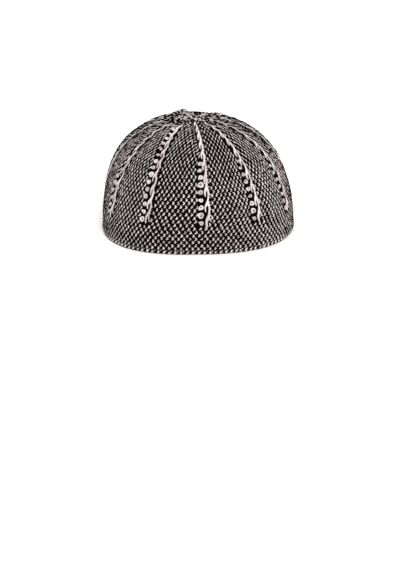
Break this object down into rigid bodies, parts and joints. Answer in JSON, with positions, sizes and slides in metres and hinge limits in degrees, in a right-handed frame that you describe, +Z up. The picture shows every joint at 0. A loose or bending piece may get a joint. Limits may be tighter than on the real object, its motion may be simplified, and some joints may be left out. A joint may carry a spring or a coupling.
{
  "type": "knitted prayer cap",
  "caption": "Close-fitting domed prayer cap knitted in black and off-white yarn, open below for the head, with a plain band, raised ribs between its gores and a gathered crown.",
  "frame": {"origin": "centre of the rim, on the plane that the rim rests on", "axes": "+Z up from the rim to the crown, +Y towards the back of the cap with its front at -Y, +X to the viewer's right"},
  "size_m": [0.1669, 0.1906, 0.0959],
  "materials": {
    "black_yarn": "matt knitted yarn",
    "cream_yarn": "matt knitted yarn"
  },
  "bodies": {
    "root": {"crown": "black_yarn", "rib_01": "cream_yarn", "rib_02": "cream_yarn", "rib_03": "cream_yarn", "rib_04": "cream_yarn", "rib_05": "cream_yarn", "rib_06": "cream_yarn", "rib_07": "cream_yarn", "rib_08": "cream_yarn", "rib_09": "cream_yarn", "rib_10": "cream_yarn", "rib_11": "cream_yarn", "rib_12": "cream_yarn"}
  },
  "joints": []
}
